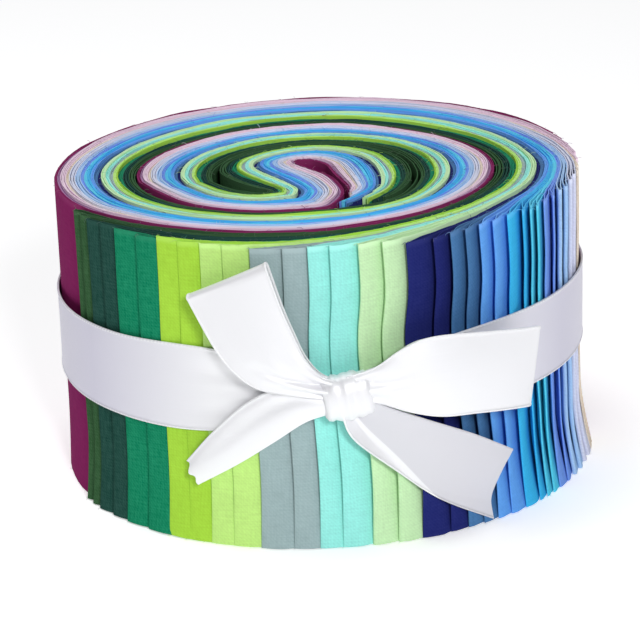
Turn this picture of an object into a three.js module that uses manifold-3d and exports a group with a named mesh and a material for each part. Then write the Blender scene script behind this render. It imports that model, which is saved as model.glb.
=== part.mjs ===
// Roll of forty folded quilting cotton strips, tied round its middle with a white satin ribbon.
// Millimetres, +Z up. The roll stands on z = 0 and the bow faces -Y.
import * as THREE from "three";
import { mergeVertices } from "three/addons/utils/BufferGeometryUtils.js";
import Module from "manifold-3d";

// Driving dimensions
const STRIP_WIDTH = 63.5; // the strips' cut width is the roll's height
const ROLL_RADIUS = 55.3; // out to the fold edges
const TURN_GAP = 0.4; // air between one turn and the next
const AXIS_Y = 2.7; // the roll's axis lies behind the origin, by half of what the bow adds in front
const FOLD_STEP = 0.9; // a fold edge stands this far above the groove beside it
const FOLD_LEAN = 3.2; // degrees that the right-hand folds lean between top and bottom
const RIBBON_THICK = 1.0;
const RIBBON_SEAT = 0.35; // air between the fold edges and the ribbon

// Inner face of the wound bundle, by turns clockwise from the left side
const WINDING = [
  { turn: -0.056, radius: 22.6 },
  { turn: 0.0, radius: 21.6 },
  { turn: 0.125, radius: 19.9 },
  { turn: 0.25, radius: 18.9 },
  { turn: 0.375, radius: 19.7 },
  { turn: 0.5, radius: 20.9 },
  { turn: 0.583, radius: 24.4 },
  { turn: 0.66, radius: 28.9 },
  { turn: 0.75, radius: 30.4 },
  { turn: 0.82, radius: 33.4 },
  { turn: 0.89, radius: 36.0 },
  { turn: 1.0, radius: 38.0 },
  { turn: 1.125, radius: 34.8 },
  { turn: 1.25, radius: 33.4 },
  { turn: 1.375, radius: 33.4 },
  { turn: 1.5, radius: 37.6 },
  { turn: 1.6, radius: 39.6 },
  { turn: 1.67, radius: 41.2 },
  { turn: 1.75, radius: 44.4 },
  { turn: 1.82, radius: 46.8 },
  { turn: 1.89, radius: 50.6 },
  { turn: 1.929, radius: 53.4 },
  { turn: 1.97, radius: 54.9 },
  { turn: 2.0, radius: 55.5 },
  { turn: 2.25, radius: 55.6 },
  { turn: 2.5, radius: 55.6 },
];

// Two bends at the core, in ribs across the bundle from its inner face to its outer one
const CORE = [
  { inX: -21.4, inY: -7.8, outX: -34.0, outY: -12.4 },
  { inX: -16.8, inY: -14.1, outX: -26.9, outY: -22.6 },
  { inX: -12.2, inY: -16.9, outX: -18.9, outY: -27.8 },
  { inX: -10.4, inY: -16.7, outX: -11.0, outY: -30.2 },
  { inX: -9.8, inY: -16.1, outX: -4.0, outY: -30.1 },
  { inX: -9.7, inY: -15.5, outX: 2.4, outY: -29.2 },
  { inX: -10.0, inY: -14.9, outX: 6.1, outY: -25.5 },
  { inX: -10.8, inY: -14.1, outX: 6.8, outY: -19.0 },
  { inX: -12.8, inY: -12.5, outX: 5.3, outY: -12.8 },
  { inX: -15.8, inY: -9.4, outX: 2.9, outY: -7.2 },
  { inX: -18.6, inY: -5.0, outX: -0.2, outY: -2.6 },
  { inX: -20.2, inY: 0.0, outX: -2.9, outY: 1.2 },
  { inX: -19.2, inY: 6.2, outX: -4.0, outY: 3.6 },
  { inX: -15.6, inY: 11.0, outX: -3.8, outY: 4.6 },
  { inX: -10.6, inY: 14.8, outX: -3.0, outY: 5.1 },
  { inX: -3.9, inY: 17.6, outX: -1.8, outY: 5.1 },
  { inX: 3.4, inY: 18.0, outX: -0.4, outY: 4.6 },
  { inX: 10.4, inY: 15.0, outX: 1.0, outY: 3.2 },
  { inX: 15.6, inY: 9.8, outX: 2.3, outY: 0.9 },
  { inX: 18.6, inY: 3.4, outX: 3.6, outY: -2.4 },
  { inX: 19.9, inY: -4.0, outX: 4.8, outY: -6.4 },
  { inX: 19.6, inY: -11.0, outX: 6.1, outY: -11.0 },
  { inX: 17.4, inY: -18.0, outX: 7.6, outY: -16.2 },
  { inX: 13.4, inY: -24.4, outX: 8.6, outY: -21.5 },
];

// Fold edges at the top rim, in degrees: two strips of each colour, from the last end to the first
const FOLDS = [
  { first: -154.0, second: -150.6 },
  { first: -147.5, second: -142.3 },
  { first: -137.5, second: -131.0 },
  { first: -125.3, second: -120.2 },
  { first: -115.0, second: -110.0 },
  { first: -104.2, second: -97.5 },
  { first: -92.4, second: -88.0 },
  { first: -82.2, second: -77.2 },
  { first: -72.3, second: -66.2 },
  { first: -62.2, second: -58.5 },
  { first: -55.0, second: -51.2 },
  { first: -47.0, second: -42.2 },
  { first: -39.5, second: -37.0 },
  { first: -34.0, second: -30.0 },
  { first: -26.0, second: -22.0 },
  { first: -18.0, second: -14.0 },
  { first: -10.0, second: -6.0 },
  { first: -2.0, second: 2.0 },
  { first: 6.0, second: 10.5 },
  { first: 15.0, second: 20.0 },
];

// Height of the cut edges across the bundle, below the tallest: ridges of like-coloured strips
const RIDGES = [
  { across: 0.0, below: 0.5 },
  { across: 0.12, below: 0.1 },
  { across: 0.3, below: 0.3 },
  { across: 0.4, below: 0.9 },
  { across: 0.55, below: 0.1 },
  { across: 0.78, below: 0.2 },
  { across: 1.0, below: 0.5 },
];

// Ribbon round the roll: its edges at each angle, gathered where it enters the knot
const BAND = [
  { deg: -84, low: 31.0, high: 37.5, lift: 1.2 },
  { deg: -76, low: 29.5, high: 39.5, lift: 0.8 },
  { deg: -62, low: 27.0, high: 42.4, lift: 0.0 },
  { deg: -30, low: 26.2, high: 43.0, lift: 0.0 },
  { deg: 0, low: 26.0, high: 42.8, lift: 0.0 },
  { deg: 60, low: 25.2, high: 42.0, lift: 0.0 },
  { deg: 120, low: 24.2, high: 41.2, lift: 0.0 },
  { deg: 180, low: 23.4, high: 40.6, lift: 0.0 },
  { deg: 220, low: 23.6, high: 41.2, lift: 0.0 },
  { deg: 246, low: 24.6, high: 42.0, lift: 0.0 },
  { deg: 256, low: 27.6, high: 40.0, lift: 0.3 },
  { deg: 264, low: 30.6, high: 37.6, lift: 0.9 },
  { deg: 271, low: 31.2, high: 37.0, lift: 1.2 },
];

// Loops and tails, from the knot outwards: the two long edges on the drum, and how far they stand off it
const LEFT_LOOP = [
  { degA: -87.0, zA: 33.0, degB: -87.0, zB: 37.0, front: 4.4, back: 3.0 },
  { degA: -94.0, zA: 34.2, degB: -90.5, zB: 38.6, front: 4.6, back: 2.8 },
  { degA: -102.0, zA: 35.8, degB: -93.2, zB: 42.2, front: 5.0, back: 2.9 },
  { degA: -106.6, zA: 38.8, degB: -95.2, zB: 47.0, front: 4.9, back: 2.9 },
  { degA: -110.4, zA: 43.4, degB: -97.2, zB: 52.4, front: 4.8, back: 2.8 },
  { degA: -115.7, zA: 53.0, degB: -99.7, zB: 60.6, front: 4.6, back: 2.6 },
];
const RIGHT_LOOP = [
  { degA: -86.0, zA: 38.0, degB: -86.0, zB: 32.5, front: 4.6, back: 2.8 },
  { degA: -80.4, zA: 39.6, degB: -80.6, zB: 32.4, front: 4.8, back: 2.9 },
  { degA: -75.7, zA: 43.0, degB: -74.0, zB: 29.8, front: 5.8, back: 3.0 },
  { degA: -70.0, zA: 45.2, degB: -68.0, zB: 28.2, front: 6.8, back: 3.4 },
  { degA: -60.1, zA: 44.3, degB: -60.5, zB: 27.4, front: 7.0, back: 4.2 },
  { degA: -45.6, zA: 41.6, degB: -48.6, zB: 25.4, front: 6.6, back: 4.6 },
];
const LEFT_TAIL = [
  { degA: -87.5, zA: 36.0, degB: -87.5, zB: 30.5, lift: 3.4 },
  { degA: -98.0, zA: 35.6, degB: -93.4, zB: 28.4, lift: 2.9 },
  { degA: -105.1, zA: 32.2, degB: -100.0, zB: 23.8, lift: 2.4 },
  { degA: -112.5, zA: 25.4, degB: -107.6, zB: 18.6, lift: 1.9 },
  { degA: -119.6, zA: 17.6, degB: -117.0, zB: 12.9, lift: 1.5 },
];
const RIGHT_TAIL = [
  { degA: -85.0, zA: 36.0, degB: -87.0, zB: 31.0, lift: 3.2 },
  { degA: -79.6, zA: 32.0, degB: -84.6, zB: 24.4, lift: 2.8 },
  { degA: -70.5, zA: 27.2, degB: -76.6, zB: 16.6, lift: 2.4 },
  { degA: -60.0, zA: 21.8, degB: -66.8, zB: 8.4, lift: 2.1 },
  { degA: -49.6, zA: 15.4, degB: -54.6, zB: 1.2, lift: 1.8 },
];
const KNOT = { deg: -85.4, z: 35.2, lift: 3.9, wide: 4.6, tall: 4.8, deep: 3.0, lean: 0.14, square: 0.7 };
const NUB = { deg: -89.2, z: 30.0, lift: 3.4, wide: 1.9, tall: 1.8, deep: 1.8, lean: 0, square: 1 };

const COTTON = new THREE.MeshStandardMaterial({ color: 0x0a8560, roughness: 0.9, metalness: 0 });
const SATIN = new THREE.MeshStandardMaterial({ color: 0xf6f5f7, roughness: 0.4, metalness: 0 });
const rad = THREE.MathUtils.degToRad;
const mix = THREE.MathUtils.lerp;

// A column of a table at x, smooth through its rows.
function along(rows, key, x, column) {
  let i = rows.findIndex((row) => row[key] > x) - 1;
  if (i < 0) i = x < rows[0][key] ? 0 : rows.length - 2;
  const slope = (j) => {
    const a = rows[Math.max(j - 1, 0)];
    const b = rows[Math.min(j + 1, rows.length - 1)];
    return (b[column] - a[column]) / (b[key] - a[key]);
  };
  const span = rows[i + 1][key] - rows[i][key];
  const t = (x - rows[i][key]) / span;
  const start = rows[i][column];
  const rise = rows[i + 1][column] - start;
  const m0 = slope(i) * span;
  const m1 = slope(i + 1) * span;
  return start + m0 * t + (3 * rise - 2 * m0 - m1) * t * t + (m0 + m1 - 2 * rise) * t ** 3;
}

// A closed mesh of a grid of points on two sides, with walls round its four edges.
// The lower side has either the upper one's columns or its two outer ones alone.
function slabGeometry(upper, lower) {
  const rows = upper.length;
  const cols = upper[0].length;
  const lowCols = lower[0].length;
  const positions = [...upper.flat(), ...lower.flat()].flatMap((p) => [p.x, p.y, p.z]);
  const top = (i, j) => i * cols + j;
  const low = (i, j) => rows * cols + i * lowCols + j;
  const faces = [];
  const quad = (a, b, c, d) => faces.push(a, b, c, a, c, d);
  for (let i = 0; i + 1 < rows; i++) {
    for (let j = 0; j + 1 < cols; j++) quad(top(i, j), top(i + 1, j), top(i + 1, j + 1), top(i, j + 1));
    for (let j = 0; j + 1 < lowCols; j++) quad(low(i, j), low(i, j + 1), low(i + 1, j + 1), low(i + 1, j));
    quad(top(i, 0), low(i, 0), low(i + 1, 0), top(i + 1, 0));
    quad(top(i, cols - 1), top(i + 1, cols - 1), low(i + 1, lowCols - 1), low(i, lowCols - 1));
  }
  const end = rows - 1;
  for (let j = 0; j + 1 < cols; j++) {
    const a = lowCols === cols ? j : 0;
    faces.push(low(0, a), top(0, j), top(0, j + 1));
    faces.push(low(end, a), top(end, j + 1), top(end, j));
    if (lowCols < cols && j + 2 < cols) continue; // a fan of triangles, closed by the last one
    faces.push(low(0, a), top(0, j + 1), low(0, a + 1));
    faces.push(low(end, a), low(end, a + 1), top(end, j + 1));
  }
  const geometry = new THREE.BufferGeometry();
  geometry.setAttribute("position", new THREE.Float32BufferAttribute(positions, 3));
  geometry.setIndex(faces);
  return geometry;
}

// The wound bundle

const flat = (deg, radius) => new THREE.Vector2(radius * Math.cos(rad(deg)), radius * Math.sin(rad(deg)));
const turnOf = (deg) => (180 - deg) / 360 + 1;
const faceRadius = (turn) => along(WINDING, "turn", turn, "radius");

// A rib across the bundle: its inner and outer points at the top, and the outer one at the foot.
function windingRib(turn, outerRadius = faceRadius(turn + 1) - TURN_GAP, footLean = 0) {
  const deg = 180 - 360 * turn;
  return {
    inside: flat(deg, faceRadius(turn)),
    outside: flat(deg, outerRadius),
    foot: flat(deg + footLean, outerRadius),
  };
}

// Ribs over the shingled folds, from the last strip's end back to the first one's.
function foldRibs() {
  const edges = FOLDS.flatMap((pair) => [pair.first, pair.second]);
  const ribs = [];
  edges.forEach((deg, k) => {
    const steps = [
      { deg, below: 0.4 },
      { deg: deg + 0.55, below: 0 },
    ];
    if (k + 1 < edges.length) steps.push({ deg: edges[k + 1] - 0.4, below: FOLD_STEP });
    for (const step of steps) {
      const ease = THREE.MathUtils.smoothstep(step.deg, -105, -45) * (1 - k / edges.length);
      ribs.push(windingRib(turnOf(step.deg), ROLL_RADIUS - step.below, FOLD_LEAN * ease));
    }
  });
  return ribs;
}

function windingRibs(count) {
  const from = turnOf(FOLDS.at(-1).second) - 0.012;
  const to = -0.03;
  return Array.from({ length: count + 1 }, (_, i) => windingRib(mix(from, to, i / count)));
}

function coreRibs(stepsPerRow) {
  const curve = (x, y) => new THREE.CatmullRomCurve3(CORE.map((row) => new THREE.Vector3(row[x], row[y], 0)));
  const inner = curve("inX", "inY");
  const outer = curve("outX", "outY");
  const count = (CORE.length - 1) * stepsPerRow;
  return Array.from({ length: count + 1 }, (_, i) => {
    const a = inner.getPoint(i / count);
    const b = outer.getPoint(i / count);
    const outside = new THREE.Vector2(b.x, b.y);
    return { inside: new THREE.Vector2(a.x, a.y), outside, foot: outside };
  });
}

function rollGeometry() {
  const ribs = [...foldRibs(), ...windingRibs(90), ...coreRibs(3)];
  ribs.reverse(); // from the core outwards, so that the top faces up
  const ripple = { height: 0.12, perRib: 0.35, perRidge: 9 };
  const upper = ribs.map((rib, i) =>
    RIDGES.map((ridge) => {
      const p = rib.inside.clone().lerp(rib.outside, ridge.across);
      const wave = Math.sin(i * ripple.perRib + ridge.across * ripple.perRidge) - 1;
      return new THREE.Vector3(p.x, p.y, STRIP_WIDTH - ridge.below + ripple.height * wave);
    }),
  );
  const lower = ribs.map((rib) => [rib.inside, rib.foot].map((p) => new THREE.Vector3(p.x, p.y, 0)));
  return slabGeometry(upper, lower);
}

// The ribbon

const onDrum = ({ deg, z, stand }) => {
  const p = flat(deg, ROLL_RADIUS + stand);
  return new THREE.Vector3(p.x, p.y, z);
};

// Cloth of the ribbon's thickness round a grid of points on its middle.
function ribbonSheet(grid) {
  const last = grid.length - 1;
  const cols = grid[0].length - 1;
  const shift = (sign) =>
    grid.map((row, i) =>
      row.map((p, j) => {
        const down = grid[Math.min(i + 1, last)][j].clone().sub(grid[Math.max(i - 1, 0)][j]);
        const side = row[Math.min(j + 1, cols)].clone().sub(row[Math.max(j - 1, 0)]);
        const normal = down.cross(side).normalize();
        return p.clone().addScaledVector(normal, (sign * RIBBON_THICK) / 2);
      }),
    );
  return slabGeometry(shift(1), shift(-1));
}

function acrossRibbon(a, b) {
  const columns = 4;
  return Array.from({ length: columns + 1 }, (_, j) => {
    const t = j / columns;
    return onDrum({ deg: mix(a.deg, b.deg, t), z: mix(a.z, b.z, t), stand: mix(a.stand, b.stand, t) });
  });
}

// All columns of a table at t, from 0 at its first row to 1 at its last.
function tableAt(rows, t) {
  const indexed = rows.map((row, at) => ({ ...row, at }));
  const read = (column) => along(indexed, "at", t * (rows.length - 1), column);
  return Object.fromEntries(Object.keys(rows[0]).map((column) => [column, read(column)]));
}

function bandGeometry(steps) {
  const grid = [];
  for (let i = 0; i <= steps; i++) {
    const deg = mix(BAND[0].deg, BAND.at(-1).deg, i / steps);
    const at = (column) => along(BAND, "deg", deg, column);
    const stand = RIBBON_SEAT + RIBBON_THICK / 2 + at("lift");
    grid.push(acrossRibbon({ deg, z: at("low"), stand }, { deg, z: at("high"), stand }));
  }
  return ribbonSheet(grid);
}

function tailGeometry(rows, steps) {
  const grid = [];
  for (let i = 0; i <= steps; i++) {
    const at = tableAt(rows, i / steps);
    const stand = at.lift;
    grid.push(acrossRibbon({ deg: at.degA, z: at.zA, stand }, { deg: at.degB, z: at.zB, stand }));
  }
  return ribbonSheet(grid);
}

// A loop goes out along its front layer, turns over a rounded fold and comes back behind it.
function loopGeometry(rows, steps, foldSteps) {
  const grid = [];
  const end = rows.at(-1);
  const before = tableAt(rows, 1 - 0.2 / rows.length);
  const edge = (at, side, stand, reach) => {
    const arc = rad(end[`deg${side}`] - before[`deg${side}`]) * ROLL_RADIUS;
    const rise = end[`z${side}`] - before[`z${side}`];
    const push = new THREE.Vector2(arc, rise).setLength(reach);
    const turned = THREE.MathUtils.radToDeg(push.x / ROLL_RADIUS);
    return { deg: at[`deg${side}`] + turned, z: at[`z${side}`] + push.y, stand };
  };
  const rung = (at, stand, reach = 0) => {
    grid.push(acrossRibbon(edge(at, "A", stand, reach), edge(at, "B", stand, reach)));
  };
  for (let i = 0; i <= steps; i++) {
    const at = tableAt(rows, i / steps);
    rung(at, at.front);
  }
  const radius = (end.front - end.back) / 2;
  for (let i = 1; i < foldSteps; i++) {
    const turn = (Math.PI * i) / foldSteps;
    rung(end, end.back + radius + radius * Math.cos(turn), radius * Math.sin(turn));
  }
  for (let i = steps; i >= 0; i--) {
    const at = tableAt(rows, i / steps);
    rung(at, at.back);
  }
  return ribbonSheet(grid);
}

// A rounded lump; square below 1 makes its sides flatter.
function lumpGeometry(lump) {
  const geometry = new THREE.SphereGeometry(1, 20, 12);
  const position = geometry.attributes.position;
  for (let i = 0; i < position.count; i++) {
    const p = new THREE.Vector3().fromBufferAttribute(position, i).toArray();
    position.setXYZ(i, ...p.map((v) => Math.sign(v) * Math.abs(v) ** lump.square));
  }
  geometry.scale(lump.wide, lump.deep, lump.tall);
  geometry.rotateY(lump.lean);
  geometry.rotateZ(rad(lump.deg + 90));
  const centre = onDrum({ deg: lump.deg, z: lump.z, stand: lump.lift });
  geometry.translate(centre.x, centre.y, centre.z);
  return geometry;
}

const wasm = await Module();
wasm.setup();

function solid(geometry) {
  const bare = geometry.clone();
  bare.deleteAttribute("normal");
  bare.deleteAttribute("uv");
  const merged = mergeVertices(bare, 1e-4);
  const mesh = new wasm.Mesh({
    numProp: 3,
    vertProperties: new Float32Array(merged.attributes.position.array),
    triVerts: new Uint32Array(merged.index.array),
  });
  const made = new wasm.Manifold(mesh);
  if (made.volume() < 0) throw new Error("a piece is inside out");
  return made;
}

function ribbonGeometry() {
  const pieces = [
    bandGeometry(96),
    tailGeometry(LEFT_TAIL, 14),
    tailGeometry(RIGHT_TAIL, 16),
    loopGeometry(LEFT_LOOP, 14, 6),
    loopGeometry(RIGHT_LOOP, 16, 6),
    lumpGeometry(NUB),
    lumpGeometry(KNOT),
  ];
  const joined = pieces.map(solid).reduce((whole, piece) => whole.add(piece));
  const mesh = joined.getMesh();
  const geometry = new THREE.BufferGeometry();
  geometry.setAttribute("position", new THREE.Float32BufferAttribute(mesh.vertProperties, 3));
  geometry.setIndex([...mesh.triVerts]);
  return geometry;
}

const part = new THREE.Group();
part.position.y = AXIS_Y;
const roll = new THREE.Mesh(rollGeometry(), COTTON);
roll.name = "fabric_roll";
part.add(roll);
const ribbon = new THREE.Mesh(ribbonGeometry(), SATIN);
ribbon.name = "ribbon_bow";
part.add(ribbon);

export default part;
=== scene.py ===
import math
import bpy
import numpy as np
from mathutils import Matrix


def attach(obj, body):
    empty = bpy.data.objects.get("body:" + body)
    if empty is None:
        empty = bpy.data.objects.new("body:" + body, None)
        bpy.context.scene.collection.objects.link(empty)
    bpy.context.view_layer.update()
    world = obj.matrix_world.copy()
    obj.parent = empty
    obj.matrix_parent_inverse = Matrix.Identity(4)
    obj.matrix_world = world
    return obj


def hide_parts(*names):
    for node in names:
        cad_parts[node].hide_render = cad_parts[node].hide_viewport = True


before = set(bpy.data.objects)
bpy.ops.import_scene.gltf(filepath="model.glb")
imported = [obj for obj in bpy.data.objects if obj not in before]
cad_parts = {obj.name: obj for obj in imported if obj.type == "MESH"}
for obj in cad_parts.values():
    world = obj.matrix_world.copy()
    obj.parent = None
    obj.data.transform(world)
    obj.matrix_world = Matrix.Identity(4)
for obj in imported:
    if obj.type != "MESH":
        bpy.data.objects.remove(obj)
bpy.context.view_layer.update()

mm = 0.001
axisY = 2.7 * mm  # the roll's axis, behind the origin

print("stage: frame loaded")


def addObject(name, data):
    made = bpy.data.objects.new(name, data)
    bpy.context.scene.collection.objects.link(made)
    return made


def setPlace(piece, right, up, back, at):
    place = np.eye(4)
    place[:3] = np.stack([right, up, back, at], axis=1)
    piece.matrix_world = Matrix(place.tolist())


# Camera and light

view = {
    "aim": (0.0, axisY, 31.75 * mm),
    "distance": 0.650,
    "elevation": 19.16,
    "roll": 2.2,  # the photo leans this far, its right side up
    "lens": 170.7,
    "shiftX": -0.0012,
    "shiftY": -0.0185,
}


def addCamera():
    data = bpy.data.cameras.new("camera")
    data.lens = view["lens"]
    data.sensor_width = 36
    data.shift_x = view["shiftX"]
    data.shift_y = view["shiftY"]
    data.clip_start = 0.01
    camera = addObject("camera", data)
    e = math.radians(view["elevation"])
    r = math.radians(view["roll"])
    right = np.array([1.0, 0.0, 0.0])
    up = np.array([0.0, math.sin(e), math.cos(e)])
    back = np.array([0.0, -math.cos(e), math.sin(e)])
    leanRight = right * math.cos(r) - up * math.sin(r)
    leanUp = right * math.sin(r) + up * math.cos(r)
    setPlace(camera, leanRight, leanUp, back, np.array(view["aim"]) + back * view["distance"])
    bpy.context.scene.camera = camera


studio = {
    "world": (0.92, 0.94, 1.0),
    "worldStrength": 0.12,
    "lamps": [  # place, size and power of each soft box, all turned to the roll
        {"name": "keyLight", "place": (0.26, -1.08, 0.58), "size": 0.22, "watts": 7.5},
        {"name": "topLight", "place": (-0.25, 0.10, 1.1), "size": 0.8, "watts": 6.4},
    ],
}


def addStudio():
    world = bpy.data.worlds.new("studio")
    world.use_nodes = True
    sky = world.node_tree.nodes["Background"]
    sky.inputs["Color"].default_value = (*studio["world"], 1)
    sky.inputs["Strength"].default_value = studio["worldStrength"]
    bpy.context.scene.world = world
    for lamp in studio["lamps"]:
        data = bpy.data.lights.new(lamp["name"], "AREA")
        data.size = lamp["size"]
        data.energy = lamp["watts"]
        light = addObject(lamp["name"], data)
        away = np.array(lamp["place"]) - np.array(view["aim"])
        away /= np.linalg.norm(away)
        side = np.cross([0, 0, 1.0], away)
        side /= np.linalg.norm(side)
        setPlace(light, side, np.cross(away, side), away, lamp["place"])
    scene = bpy.context.scene
    scene.view_settings.view_transform = "Standard"
    scene.view_settings.look = "None"


# Shader helpers


class Value:  # a shader value that takes + - * and a few more
    def __init__(self, shader, socket):
        self.shader = shader
        self.socket = socket

    def math(self, operation, *others):
        values = {0: self, **{i + 1: other for i, other in enumerate(others)}}
        return self.shader.node("ShaderNodeMath", {"operation": operation}, values).value()

    def __add__(self, other):
        return self.math("ADD", other)

    def __radd__(self, other):
        return self.math("ADD", other)

    def __sub__(self, other):
        return self.math("SUBTRACT", other)

    def __rsub__(self, other):
        return self.math("MULTIPLY", -1.0).math("ADD", other)

    def __mul__(self, other):
        return self.math("MULTIPLY", other)

    def __rmul__(self, other):
        return self.math("MULTIPLY", other)

    def sin(self):
        return self.math("SINE")

    def absolute(self):
        return self.math("ABSOLUTE")

    def clamp(self):
        return self.math("MINIMUM", 1.0).math("MAXIMUM", 0.0)


class Made:  # a node that has been added, and its outputs
    def __init__(self, shader, node):
        self.shader = shader
        self.node = node

    def value(self, name=0):
        return Value(self.shader, self.node.outputs[name])

    def link(self, name=0):
        return self.node.outputs[name]


class Shader:
    def __init__(self, name):
        self.material = bpy.data.materials.new(name)
        self.material.use_nodes = True
        self.tree = self.material.node_tree
        self.surface = self.tree.nodes["Principled BSDF"]

    def node(self, kind, settings=None, values=None):
        node = self.tree.nodes.new(kind)
        for name, setting in (settings or {}).items():
            setattr(node, name, setting)
        for name, value in (values or {}).items():
            self.feed(node.inputs[name], value)
        return Made(self, node)

    def feed(self, socket, value):
        if isinstance(value, Value):
            value = value.socket
        if isinstance(value, bpy.types.NodeSocket):
            self.tree.links.new(value, socket)
        elif isinstance(value, tuple) and len(value) == 3 and socket.type == "RGBA":
            socket.default_value = (*value, 1)
        else:
            socket.default_value = value

    def feedSurface(self, values):
        for name, value in values.items():
            self.feed(self.surface.inputs[name], value)

    def mix(self, factor, a, b):
        return self.node("ShaderNodeMix", {"data_type": "RGBA"}, {0: factor, 6: a, 7: b}).link(2)

    def uv(self):  # the cloth's own coordinates, together and apart
        place = self.node("ShaderNodeTexCoord").link("UV")
        parts = self.node("ShaderNodeSeparateXYZ", None, {0: place})
        return place, parts.value("X"), parts.value("Y")

    def mapped(self, vector, setting, amounts):
        return self.node("ShaderNodeMapping", None, {"Vector": vector, setting: amounts}).link()

    def noise(self, vector, scale, detail):
        values = {"Vector": vector, "Scale": scale, "Detail": detail}
        return self.node("ShaderNodeTexNoise", None, values).value(0)

    def bump(self, height, distance, strength):
        values = {"Height": height, "Distance": distance, "Strength": strength}
        self.feedSurface({"Normal": self.node("ShaderNodeBump", None, values).link()})


def linear(colour):  # 0 to 255 as it looks, to linear light
    shares = [c / 255 for c in colour]
    return tuple(s / 12.92 if s <= 0.04045 else ((s + 0.055) / 1.055) ** 2.4 for s in shares)


# Meshes of cloth


def clothGrid(points, normals, thick, along, across):
    # points is rows x columns x 3 on the cloth's middle; the rest fit it by broadcasting
    rows, cols = points.shape[:2]
    half = (np.broadcast_to(thick, (rows, cols)) / 2)[..., None]
    corners = np.stack([points + normals * half, points - normals * half], axis=2).reshape(-1, 3)

    def at(i, j, side):
        return (i * cols + j) * 2 + side

    i, j = np.meshgrid(np.arange(rows - 1), np.arange(cols - 1), indexing="ij")
    i, j = i.ravel(), j.ravel()
    ends, caps = np.arange(rows - 1), np.arange(cols - 1)
    zero, lastRow, lastCol = 0, rows - 1, cols - 1
    quads = [
        (at(i, j, 0), at(i + 1, j, 0), at(i + 1, j + 1, 0), at(i, j + 1, 0)),
        (at(i, j, 1), at(i, j + 1, 1), at(i + 1, j + 1, 1), at(i + 1, j, 1)),
        (at(ends, zero, 0), at(ends, zero, 1), at(ends + 1, zero, 1), at(ends + 1, zero, 0)),
        (at(ends, lastCol, 0), at(ends + 1, lastCol, 0), at(ends + 1, lastCol, 1), at(ends, lastCol, 1)),
        (at(zero, caps, 0), at(zero, caps + 1, 0), at(zero, caps + 1, 1), at(zero, caps, 1)),
        (at(lastRow, caps, 0), at(lastRow, caps, 1), at(lastRow, caps + 1, 1), at(lastRow, caps + 1, 0)),
    ]
    faces = np.concatenate([np.stack(quad, axis=1) for quad in quads])
    uv = np.stack([np.broadcast_to(along, (rows, cols)), np.broadcast_to(across, (rows, cols))], axis=2)
    return corners, faces, np.repeat(uv.reshape(-1, 2), 2, axis=0)


def clothMesh(name, grids, material, sharpFrom=35):
    starts = np.cumsum([0] + [len(grid[0]) for grid in grids])
    corners = np.concatenate([grid[0] for grid in grids])
    faces = np.concatenate([grid[1] + start for grid, start in zip(grids, starts)])
    uv = np.concatenate([grid[2] for grid in grids])[faces.ravel()]
    mesh = bpy.data.meshes.new(name)
    mesh.vertices.add(len(corners))
    mesh.vertices.foreach_set("co", corners.ravel())
    mesh.loops.add(faces.size)
    mesh.loops.foreach_set("vertex_index", faces.ravel())
    mesh.polygons.add(len(faces))
    mesh.polygons.foreach_set("loop_start", np.arange(len(faces)) * 4)
    mesh.polygons.foreach_set("loop_total", np.full(len(faces), 4))
    mesh.uv_layers.new(name="cloth").data.foreach_set("uv", uv.ravel())
    mesh.update(calc_edges=True)
    mesh.validate()
    mesh.shade_smooth()
    mesh.set_sharp_from_angle(angle=math.radians(sharpFrom))
    mesh.materials.append(material)
    return addObject(name, mesh)


def smooth(xs, ys, x):  # a smooth curve through a table's points
    xs, ys, x = np.asarray(xs, float), np.asarray(ys, float), np.asarray(x, float)
    n = len(xs)
    before, after = np.maximum(np.arange(n) - 1, 0), np.minimum(np.arange(n) + 1, n - 1)
    slope = (ys[after] - ys[before]) / (xs[after] - xs[before])
    i = np.clip(np.searchsorted(xs, x, side="right") - 1, 0, n - 2)
    span = xs[i + 1] - xs[i]
    t = (x - xs[i]) / span
    rise = ys[i + 1] - ys[i]
    m0, m1 = slope[i] * span, slope[i + 1] * span
    return ys[i] + m0 * t + (3 * rise - 2 * m0 - m1) * t**2 + (m0 + m1 - 2 * rise) * t**3


# The forty strips

roll = {
    "height": 63.5,
    "radius": 55.2,
    "turnGap": 0.4,  # between one turn and the next
    "fullThick": 0.25,  # of the cloth where it has room
    "packing": 0.88,  # how far it fills the room that it has
    "foldStep": 2.2,  # how far a fold edge stands over the groove beside it
    "foldPitch": 4.4,  # degrees from one fold to the next
    "foldGap": 1.8,  # how far its lip is off the strip beneath
    "lipLength": 4.6,
    "lipRoom": 1.3,  # cloth thicknesses that the lip leaves free
    "foldSoftness": 3.0,  # after this many more folds a strip lies flat
    "foldHold": 1.5,  # how long a strip keeps out near its fold before it falls away
    "foldLean": 3.0,  # degrees that the right-hand folds lean between top and bottom
    "leanFrom": -105,
    "leanTo": 24,
    "leanOver": 60,  # degrees over which the lean grows and fades
    "cutLength": 1.1,  # metres
    "seed": 7,
}

# Tables by angle round the roll's axis, in degrees: the photo's right is 0, its front -90
byAngle = {
    "foldStrength": (
        [-150, -118, -92, -76, -70, -42, -30, -15, 0, 20],
        [0.3, 0.4, 0.62, 0.75, 1.0, 1.0, 0.75, 0.35, 0.15, 0.2],
    ),
    "foldSway": ([-112, -92, -77, -20, 0], [0.1, 0.5, 1, 0.8, 0.4]),
    "flare": (  # how far the foot spreads
        [-180, -168, -152, -120, -70, -45, -5, 40, 180],
        [0.3, 0.8, 1.9, 1.6, 2.2, 3.0, 3.0, 0.5, 0.3],
    ),
}

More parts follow.
